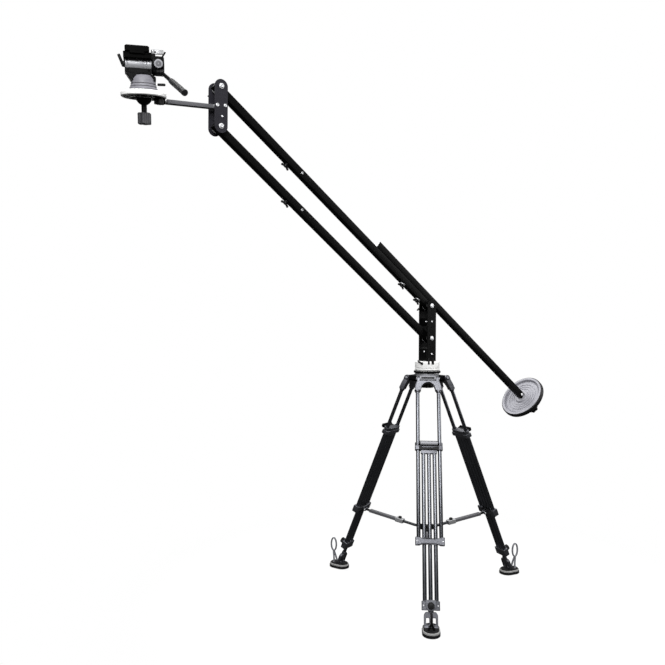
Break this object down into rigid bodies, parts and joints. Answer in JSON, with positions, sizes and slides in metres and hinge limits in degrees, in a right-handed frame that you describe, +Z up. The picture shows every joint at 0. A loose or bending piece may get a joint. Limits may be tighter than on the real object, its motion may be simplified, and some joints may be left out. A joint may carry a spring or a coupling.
{
  "type": "camera jib crane",
  "caption": "Parallel-arm camera jib on a tripod with telescoping legs, turntable, counterweight beam and a levelling fluid head on a bowl platform.",
  "frame": {"origin": "centre of the bounding box on the floor, under the feet", "axes": "+Z up; the booms lie in the XZ plane with the camera head toward -X and the counterweight toward +X"},
  "size_m": [2.3582, 0.9982, 2.3434],
  "materials": {
    "black_aluminium": "satin black anodised tube and plate",
    "grey_aluminium": "mid-grey anodised tube and casting",
    "dark_casting": "dark painted aluminium casting",
    "white_aluminium": "white painted aluminium",
    "pale_aluminium": "clear anodised aluminium",
    "black_plastic": "moulded black plastic",
    "black_rubber": "moulded rubber with a pale rim band",
    "weight_iron": "pale grey painted cast iron",
    "bright_steel": "bright turned steel"
  },
  "bodies": {
    "crown": {"tripod_crown": "dark_casting", "turntable_base": "white_aluminium"},
    "crown_clamp": {"crown_clamp_knob": "black_plastic"},
    "leg_front": {"leg_upper_front": "grey_aluminium"},
    "leg_stage_front": {"leg_middle_front": "grey_aluminium"},
    "leg_spike_front": {"leg_lower_front": "grey_aluminium"},
    "lever_front": {"leg_lever_front": "dark_casting"},
    "knob_front": {"leg_knob_front": "black_plastic"},
    "pad_front": {"foot_front": "black_rubber"},
    "arm_sleeve_front": {"spreader_outer_front": "pale_aluminium"},
    "arm_rod_front": {"spreader_inner_front": "grey_aluminium"},
    "leg_right": {"leg_upper_right": "grey_aluminium"},
    "leg_stage_right": {"leg_middle_right": "grey_aluminium"},
    "leg_spike_right": {"leg_lower_right": "grey_aluminium"},
    "lever_right": {"leg_lever_right": "dark_casting"},
    "knob_right": {"leg_knob_right": "black_plastic"},
    "pad_right": {"foot_right": "black_rubber"},
    "arm_sleeve_right": {"spreader_outer_right": "pale_aluminium"},
    "arm_rod_right": {"spreader_inner_right": "grey_aluminium"},
    "leg_left": {"leg_upper_left": "grey_aluminium"},
    "leg_stage_left": {"leg_middle_left": "grey_aluminium"},
    "leg_spike_left": {"leg_lower_left": "grey_aluminium"},
    "lever_left": {"leg_lever_left": "dark_casting"},
    "knob_left": {"leg_knob_left": "black_plastic"},
    "pad_left": {"foot_left": "black_rubber"},
    "arm_sleeve_left": {"spreader_outer_left": "pale_aluminium"},
    "arm_rod_left": {"spreader_inner_left": "grey_aluminium"},
    "hub": {"spreader_hub": "black_plastic"},
    "post": {"turntable_top": "white_aluminium", "post_plate_near": "black_aluminium", "post_plate_far": "black_aluminium"},
    "pan_lock": {"pan_lock_lever": "black_plastic"},
    "post_clamp": {"post_clamp_bolt": "bright_steel"},
    "upper_boom": {"upper_boom_rear": "black_aluminium", "upper_boom_front": "black_aluminium"},
    "lower_boom": {"lower_boom_rear": "black_aluminium", "lower_boom_front": "black_aluminium"},
    "upper_splice": {"upper_splice_knob": "black_plastic"},
    "lower_splice": {"lower_splice_knob": "black_plastic"},
    "counter_arm": {"counter_beam": "black_aluminium", "weight_plate": "weight_iron"},
    "beam_clamp_a": {"beam_clamp_front": "black_plastic"},
    "beam_clamp_b": {"beam_clamp_rear": "black_plastic"},
    "weight_clamp": {"weight_knob": "black_plastic"},
    "head_bracket": {"head_plate_near": "black_aluminium", "head_plate_far": "black_aluminium", "platform_arm": "grey_aluminium"},
    "head_clamp": {"head_clamp_bolt": "bright_steel"},
    "platform": {"platform_bowl": "white_aluminium"},
    "bowl_clamp": {"bowl_clamp_knob": "black_plastic"},
    "fluid_head": {"head_base": "grey_aluminium"},
    "ball_clamp": {"ball_clamp_knob": "black_plastic"},
    "head_pan_key": {"head_pan_lock": "black_plastic"},
    "pan_unit": {"head_pan_body": "dark_casting"},
    "tilt_unit": {"head_tilt_drum": "dark_casting"},
    "plate": {"camera_plate": "black_aluminium"},
    "drag": {"head_drag_knob": "pale_aluminium"},
    "tilt_lock": {"head_tilt_lock": "black_plastic"},
    "plate_catch": {"plate_lock_lever": "pale_aluminium"},
    "handle": {"pan_handle": "black_plastic"}
  },
  "joints": [
    {"name": "crown_clamp_turn", "type": "hinge", "parent": "crown", "child": "crown_clamp", "pos_m": [0.36152, -0.04216, 1.012], "axis": [0, 0, -1], "range_deg": [0, 270]},
    {"name": "leg_front_fold", "type": "hinge", "parent": "crown", "child": "leg_front", "pos_m": [0.30614, -0.11055, 1.046], "axis": [-0.7771, 0.6293, 0], "range_deg": [-8, 0]},
    {"name": "leg_front_stage_slide", "type": "slide", "parent": "leg_front", "child": "leg_stage_front", "axis": [-0.2422, -0.2991, -0.923], "range_m": [-0.22, 0.365]},
    {"name": "leg_front_spike_slide", "type": "slide", "parent": "leg_stage_front", "child": "leg_spike_front", "axis": [-0.2422, -0.2991, -0.923], "range_m": [0, 0.4]},
    {"name": "leg_front_lever", "type": "hinge", "parent": "leg_stage_front", "child": "lever_front", "pos_m": [0.21635, -0.22143, 0.748], "axis": [0.7771, -0.6293, 0], "range_deg": [0, 75]},
    {"name": "leg_front_knob_turn", "type": "hinge", "parent": "leg_stage_front", "child": "knob_front", "pos_m": [0.04211, -0.4366, 0.11261], "axis": [-0.5808, -0.7173, 0.3849], "range_deg": [0, 270]},
    {"name": "foot_front_tilt", "type": "hinge", "parent": "leg_spike_front", "child": "pad_front", "pos_m": [0.03742, -0.44239, 0.022], "axis": [-0.7771, 0.6293, 0], "range_deg": [-12, 12]},
    {"name": "spreader_front_swing", "type": "hinge", "parent": "leg_front", "child": "arm_sleeve_front", "pos_m": [0.13765, -0.31861, 0.33638], "axis": [-0.7771, 0.6293, 0], "range_deg": [0, 31.68]},
    {"name": "spreader_front_telescope", "type": "slide", "parent": "arm_sleeve_front", "child": "arm_rod_front", "axis": [0.6252, 0.772, -0.1145], "range_m": [-0.06805, 0]},
    {"name": "leg_right_fold", "type": "hinge", "parent": "crown", "child": "leg_right", "pos_m": [0.44844, -0.05592, 1.046], "axis": [-0.1564, -0.9877, 0], "range_deg": [-8, 0]},
    {"name": "leg_right_stage_slide", "type": "slide", "parent": "leg_right", "child": "leg_stage_right", "axis": [0.3801, -0.0602, -0.923], "range_m": [-0.195, 0.385]},
    {"name": "leg_right_spike_slide", "type": "slide", "parent": "leg_stage_right", "child": "leg_spike_right", "axis": [0.3801, -0.0602, -0.923], "range_m": [0, 0.4]},
    {"name": "leg_right_lever", "type": "hinge", "parent": "leg_stage_right", "child": "lever_right", "pos_m": [0.58062, -0.07686, 0.76923], "axis": [0.1564, 0.9877, 0], "range_deg": [0, 75]},
    {"name": "leg_right_knob_turn", "type": "hinge", "parent": "leg_stage_right", "child": "knob_right", "pos_m": [0.85408, -0.12017, 0.13384], "axis": [0.9116, -0.1444, 0.3849], "range_deg": [0, 270]},
    {"name": "foot_right_tilt", "type": "hinge", "parent": "leg_spike_right", "child": "pad_right", "pos_m": [0.87018, -0.12272, 0.022], "axis": [-0.1564, -0.9877, 0], "range_deg": [-12, 12]},
    {"name": "spreader_right_swing", "type": "hinge", "parent": "leg_right", "child": "arm_sleeve_right", "pos_m": [0.71288, -0.09781, 0.33638], "axis": [-0.1564, -0.9877, 0], "range_deg": [0, 31.68]},
    {"name": "spreader_right_telescope", "type": "slide", "parent": "arm_sleeve_right", "child": "arm_rod_right", "axis": [-0.9812, 0.1554, -0.1145], "range_m": [-0.06805, 0]},
    {"name": "leg_left_fold", "type": "hinge", "parent": "crown", "child": "leg_left", "pos_m": [0.32999, 0.04, 1.046], "axis": [0.9336, 0.3584, 0], "range_deg": [-8, 0]},
    {"name": "leg_left_stage_slide", "type": "slide", "parent": "leg_left", "child": "leg_stage_left", "axis": [-0.1379, 0.3593, -0.923], "range_m": [-0.185, 0.4]},
    {"name": "leg_left_spike_slide", "type": "slide", "parent": "leg_stage_left", "child": "leg_spike_left", "axis": [-0.1379, 0.3593, -0.923], "range_m": [0, 0.4]},
    {"name": "leg_left_lever", "type": "hinge", "parent": "leg_stage_left", "child": "lever_left", "pos_m": [0.28368, 0.16063, 0.7803], "axis": [-0.9336, -0.3584, 0], "range_deg": [0, 75]},
    {"name": "leg_left_knob_turn", "type": "hinge", "parent": "leg_stage_left", "child": "knob_left", "pos_m": [0.18446, 0.41911, 0.14492], "axis": [-0.3308, 0.8617, 0.3849], "range_deg": [0, 270]},
    {"name": "foot_left_tilt", "type": "hinge", "parent": "leg_spike_left", "child": "pad_left", "pos_m": [0.17697, 0.43864, 0.022], "axis": [0.9336, 0.3584, 0], "range_deg": [-12, 12]},
    {"name": "spreader_left_swing", "type": "hinge", "parent": "leg_left", "child": "arm_sleeve_left", "pos_m": [0.23404, 0.28995, 0.33638], "axis": [0.9336, 0.3584, 0], "range_deg": [0, 31.68]},
    {"name": "spreader_left_telescope", "type": "slide", "parent": "arm_sleeve_left", "child": "arm_rod_left", "axis": [0.356, -0.9274, -0.1145], "range_m": [-0.06805, 0]},
    {"name": "spreader_hub_slide", "type": "slide", "parent": "crown", "child": "hub", "axis": [0, 0, 1], "range_m": [-0.12711, 0]},
    {"name": "jib_pan", "type": "hinge", "parent": "crown", "child": "post", "pos_m": [0.36152, -0.04216, 1.093], "axis": [0, 0, 1], "continuous": true},
    {"name": "pan_lock_turn", "type": "hinge", "parent": "post", "child": "pan_lock", "pos_m": [0.30671, -0.06656, 1.1187], "axis": [-0.9135, -0.4067, 0], "range_deg": [0, 60]},
    {"name": "post_clamp_turn", "type": "hinge", "parent": "post", "child": "post_clamp", "pos_m": [0.36152, -0.04216, 1.402], "axis": [0, 1, 0], "range_deg": [-90, 0]},
    {"name": "boom_tilt", "type": "hinge", "parent": "post", "child": "upper_boom", "pos_m": [0.36152, -0.04216, 1.402], "axis": [0, 1, 0], "range_deg": [-77, 18]},
    {"name": "lower_boom_tilt", "type": "hinge", "parent": "post", "child": "lower_boom", "pos_m": [0.36152, -0.04216, 1.242], "axis": [0, 1, 0], "range_deg": [-77, 18]},
    {"name": "upper_splice_turn", "type": "hinge", "parent": "upper_boom", "child": "upper_splice", "pos_m": [-0.45535, -0.04216, 1.98626], "axis": [-0.6018, 0, -0.7986], "range_deg": [0, 90]},
    {"name": "lower_splice_turn", "type": "hinge", "parent": "lower_boom", "child": "lower_splice", "pos_m": [-0.45535, -0.04216, 1.82626], "axis": [-0.6018, 0, -0.7986], "range_deg": [0, 90]},
    {"name": "counter_beam_slide", "type": "slide", "parent": "upper_boom", "child": "counter_arm", "axis": [0.7986, 0, -0.6018], "range_m": [0, 0.12]},
    {"name": "beam_clamp_front_turn", "type": "hinge", "parent": "upper_boom", "child": "beam_clamp_a", "pos_m": [0.19314, -0.04216, 1.49758], "axis": [-0.6018, 0, -0.7986], "range_deg": [0, 90]},
    {"name": "beam_clamp_rear_turn", "type": "hinge", "parent": "upper_boom", "child": "beam_clamp_b", "pos_m": [0.28898, -0.04216, 1.42536], "axis": [-0.6018, 0, -0.7986], "range_deg": [0, 90]},
    {"name": "weight_knob_turn", "type": "hinge", "parent": "counter_arm", "child": "weight_clamp", "pos_m": [1.11571, -0.04216, 0.87413], "axis": [0.7986, 0, -0.6018], "range_deg": [0, 270]},
    {"name": "head_leveller", "type": "hinge", "parent": "upper_boom", "child": "head_bracket", "pos_m": [-0.77174, -0.04216, 2.25598], "axis": [0, 1, 0], "range_deg": [-18, 77]},
    {"name": "head_clamp_turn", "type": "hinge", "parent": "head_bracket", "child": "head_clamp", "pos_m": [-0.77174, -0.04216, 2.25598], "axis": [0, 1, 0], "range_deg": [-90, 0]},
    {"name": "platform_roll", "type": "hinge", "parent": "head_bracket", "child": "platform", "pos_m": [-1.01485, -0.04216, 2.15753], "axis": [0.9963, 0, 0.0854], "range_deg": [-28, 6]},
    {"name": "bowl_clamp_turn", "type": "hinge", "parent": "platform", "child": "bowl_clamp", "pos_m": [-1.02949, -0.08442, 2.14104], "axis": [0.0845, 0.1426, -0.9862], "range_deg": [0, 270]},
    {"name": "head_level", "type": "hinge", "parent": "platform", "child": "fluid_head", "pos_m": [-1.08076, -0.04915, 2.20056], "axis": [0.9963, 0, 0.0854], "range_deg": [-6, 6]},
    {"name": "ball_clamp_turn", "type": "hinge", "parent": "fluid_head", "child": "ball_clamp", "pos_m": [-1.07214, -0.0346, 2.09997], "axis": [0.0845, 0.1426, -0.9862], "range_deg": [0, 270]},
    {"name": "head_pan_lock_turn", "type": "hinge", "parent": "fluid_head", "child": "head_pan_key", "pos_m": [-1.0387, -0.07623, 2.20633], "axis": [0.8514, -0.5245, -0.0029], "range_deg": [0, 90]},
    {"name": "head_pan", "type": "hinge", "parent": "fluid_head", "child": "pan_unit", "pos_m": [-1.08423, -0.05499, 2.24099], "axis": [-0.0845, -0.1426, 0.9862], "range_deg": [-240, 60]},
    {"name": "head_tilt", "type": "hinge", "parent": "pan_unit", "child": "tilt_unit", "pos_m": [-1.0871, -0.05984, 2.27452], "axis": [0.946, -0.3222, 0.0345], "range_deg": [-55, 25]},
    {"name": "camera_plate_slide", "type": "slide", "parent": "tilt_unit", "child": "plate", "axis": [0.3129, 0.9359, 0.1622], "range_m": [-0.03, 0.03]},
    {"name": "drag_knob_turn", "type": "hinge", "parent": "tilt_unit", "child": "drag", "pos_m": [-1.04774, -0.11703, 2.26963], "axis": [-0.3129, -0.9359, -0.1622], "range_deg": [0, 270]},
    {"name": "tilt_lock_turn", "type": "hinge", "parent": "tilt_unit", "child": "tilt_lock", "pos_m": [-1.14765, -0.03922, 2.27231], "axis": [-0.946, 0.3222, -0.0345], "range_deg": [0, 60]},
    {"name": "plate_catch_turn", "type": "hinge", "parent": "tilt_unit", "child": "plate_catch", "pos_m": [-1.06063, -0.09622, 2.31006], "axis": [-0.0845, -0.1426, 0.9862], "range_deg": [0, 60]},
    {"name": "handle_angle", "type": "hinge", "parent": "tilt_unit", "child": "handle", "pos_m": [-1.0337, -0.11459, 2.24076], "axis": [-0.946, 0.3222, -0.0345], "range_deg": [-20, 40]}
  ],
  "couplings": [
    {"joint": "spreader_front_swing", "follows": "leg_front_fold", "ratio": -3.96},
    {"joint": "spreader_front_telescope", "follows": "leg_front_fold", "m_per_rad": 0.487},
    {"joint": "leg_right_fold", "follows": "leg_front_fold", "ratio": 1},
    {"joint": "spreader_right_swing", "follows": "leg_front_fold", "ratio": -3.96},
    {"joint": "spreader_right_telescope", "follows": "leg_front_fold", "m_per_rad": 0.487},
    {"joint": "leg_left_fold", "follows": "leg_front_fold", "ratio": 1},
    {"joint": "spreader_left_swing", "follows": "leg_front_fold", "ratio": -3.96},
    {"joint": "spreader_left_telescope", "follows": "leg_front_fold", "m_per_rad": 0.487},
    {"joint": "spreader_hub_slide", "follows": "leg_front_fold", "m_per_rad": 0.91},
    {"joint": "lower_boom_tilt", "follows": "boom_tilt", "ratio": 1},
    {"joint": "head_leveller", "follows": "boom_tilt", "ratio": -1}
  ]
}
